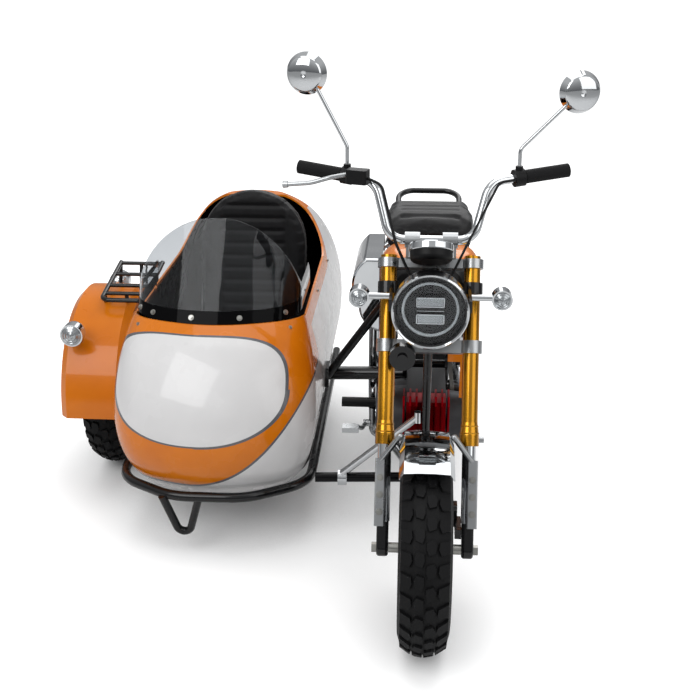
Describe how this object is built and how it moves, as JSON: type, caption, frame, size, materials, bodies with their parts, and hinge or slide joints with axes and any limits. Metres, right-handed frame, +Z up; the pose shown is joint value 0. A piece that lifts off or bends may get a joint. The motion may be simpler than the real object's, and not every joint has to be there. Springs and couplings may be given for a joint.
{
  "type": "sidecar motorcycle",
  "caption": "Small motorcycle with a right-hand passenger sidecar, its own wheel and mudguard, a windscreen and a padded seat.",
  "frame": {"origin": "on the ground, in the middle of the bounding box", "axes": "+Y to the rear, +X to the rider's left, +Z up; the sidecar is at -X"},
  "size_m": [1.457, 1.9101, 1.339],
  "materials": {
    "tyre": "matt rubber",
    "wheel_alloy": "cast, painted silver",
    "disc_steel": "ground",
    "zinc_steel": "plated",
    "black_paint": "gloss",
    "chrome": "mirror bright",
    "gold_anodised": "anodised",
    "satin_alloy": "satin",
    "grip_rubber": "ribbed",
    "black_plastic": "moulded",
    "lamp_shell": "gloss",
    "mirror_glass": "silvered",
    "clear_glass": "clear",
    "red_anodised": "anodised",
    "chain_steel": "oiled",
    "orange_paint": "pearl gloss",
    "black_leather": "sewn",
    "bench_board": "painted"
  },
  "bodies": {
    "root": {"drive_chain": "chain_steel", "engine_crankcase": "satin_alloy", "engine_head": "red_anodised", "exhaust": "chrome", "foot_controls": "satin_alloy", "fuel_tank": "orange_paint", "grab_rail": "black_paint", "lower_struts": "satin_alloy", "luggage_rack": "black_paint", "main_frame": "black_paint", "rear_axle": "zinc_steel", "rear_lamps": "black_paint", "rear_mudguard": "chrome", "rear_shocks": "chrome", "rider_saddle": "black_leather", "side_covers": "orange_paint", "sidecar_axle": "zinc_steel", "sidecar_backrest": "black_leather", "sidecar_bench": "bench_board", "sidecar_body": "orange_paint", "sidecar_chassis": "black_paint", "sidecar_cushion": "black_leather", "sidecar_lamps": "lamp_shell", "sidecar_mudguard": "orange_paint", "sidecar_subframe": "black_paint", "swingarm": "black_paint", "upper_struts": "black_paint", "windscreen": "clear_glass"},
    "steering": {"front_axle": "zinc_steel", "fork_feet": "black_paint", "fork_inner_tubes": "chrome", "fork_outer_tubes": "gold_anodised", "triple_clamps": "satin_alloy", "handlebar": "chrome", "grips": "grip_rubber", "hand_controls": "black_plastic", "brake_lever": "satin_alloy", "mirrors": "chrome", "mirror_glasses": "mirror_glass", "headlamp_bucket": "lamp_shell", "headlamp_lens": "clear_glass", "headlamp_units": "lamp_shell", "headlamp_ears": "black_paint", "front_indicators": "lamp_shell", "gauge": "black_plastic", "horn": "black_paint", "front_mudguard": "chrome", "mudguard_stays": "satin_alloy", "front_brake_caliper": "black_paint", "control_cables": "black_plastic"},
    "front_wheel": {"front_tyre": "tyre", "front_rim": "wheel_alloy", "front_brake_disc": "disc_steel"},
    "rear_wheel": {"rear_tyre": "tyre", "rear_rim": "wheel_alloy", "rear_disc_and_sprocket": "disc_steel"},
    "sidecar_wheel": {"sidecar_tyre": "tyre", "sidecar_rim": "wheel_alloy"}
  },
  "joints": [
    {"name": "steering_turn", "type": "hinge", "parent": "root", "child": "steering", "pos_m": [0.34055, -0.44276, 0.74264], "axis": [0, 0.4226, 0.9063], "range_deg": [-38, 38]},
    {"name": "front_wheel_spin", "type": "hinge", "parent": "steering", "child": "front_wheel", "pos_m": [0.34055, -0.70707, 0.248], "axis": [1, 0, 0], "continuous": true},
    {"name": "rear_wheel_spin", "type": "hinge", "parent": "root", "child": "rear_wheel", "pos_m": [0.34055, 0.44793, 0.256], "axis": [1, 0, 0], "continuous": true},
    {"name": "sidecar_wheel_spin", "type": "hinge", "parent": "root", "child": "sidecar_wheel", "pos_m": [-0.63445, 0.23293, 0.248], "axis": [1, 0, 0], "continuous": true}
  ]
}
